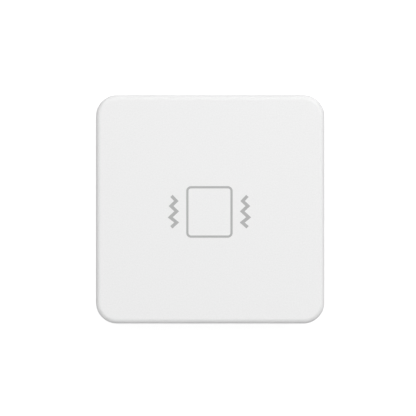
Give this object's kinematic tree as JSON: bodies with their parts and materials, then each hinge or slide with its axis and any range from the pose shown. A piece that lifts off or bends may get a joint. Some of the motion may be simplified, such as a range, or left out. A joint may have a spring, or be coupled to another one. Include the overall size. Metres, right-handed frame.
{
  "type": "vibration sensor tag",
  "caption": "Small square white stick-on vibration sensor with a lift-off front cover, a side button and a coin cell on a circuit board.",
  "frame": {"origin": "centre of the sticky face, where the tag meets the thing that it is stuck to", "axes": "+Z out of the front face, +Y to the top edge of the picture, +X to its right edge"},
  "size_m": [0.04, 0.04, 0.011],
  "materials": {
    "case_white": "fine matte moulded white plastic",
    "case_printed": "fine matte moulded white plastic with a grey pad-printed vibration sign",
    "foam_tape": "closed-cell foam tape",
    "light_pipe": "clear polycarbonate",
    "board_green": "green solder mask over glass fibre board",
    "spring_steel": "nickel-plated sheet steel",
    "cell_steel": "brushed stainless steel",
    "screw_steel": "zinc-plated steel",
    "gold_plate": "gold-plated contact",
    "tin_plate": "bright tin",
    "chip_black": "black moulded epoxy",
    "switch_black": "black glass-filled nylon",
    "antenna_ceramic": "white ceramic",
    "capacitor_ceramic": "brown ceramic",
    "tantalum_yellow": "yellow moulded epoxy",
    "led_lens": "milky clear epoxy"
  },
  "bodies": {
    "case": {"rear_shell": "case_white", "snap_hooks": "case_white", "adhesive_pad": "foam_tape", "switch_body": "switch_black", "switch_frame": "spring_steel", "circuit_board": "board_green", "board_screws": "screw_steel", "cell_can": "cell_steel", "cell_gasket": "switch_black", "cell_cap": "cell_steel", "battery_clip": "spring_steel", "negative_contact": "gold_plate", "radio_shield": "tin_plate", "radio_chip": "chip_black", "chip_antenna": "antenna_ceramic", "accelerometer": "chip_black", "crystal": "gold_plate", "bulk_capacitor": "tantalum_yellow", "chip_capacitors": "capacitor_ceramic", "chip_resistors": "chip_black", "passive_terminals": "tin_plate", "status_led": "led_lens", "test_pads": "gold_plate"},
    "cover": {"front_cover": "case_printed", "light_guide": "light_pipe"},
    "button": {"reset_button": "case_white"},
    "plunger": {"switch_plunger": "switch_black"}
  },
  "joints": [
    {"name": "cover_lift", "type": "slide", "parent": "case", "child": "cover", "axis": [0, 0, 1], "range_m": [0, 0.018], "deforming": ["snap_hooks"]},
    {"name": "button_press", "type": "slide", "parent": "case", "child": "button", "axis": [-1, 0, 0], "range_m": [0, 0.0003], "stiffness_N_per_m": 400, "springref_m": -0.0005},
    {"name": "plunger_press", "type": "slide", "parent": "case", "child": "plunger", "axis": [-1, 0, 0], "range_m": [0, 0.0003]}
  ],
  "couplings": [
    {"joint": "plunger_press", "follows": "button_press", "ratio": 1}
  ]
}
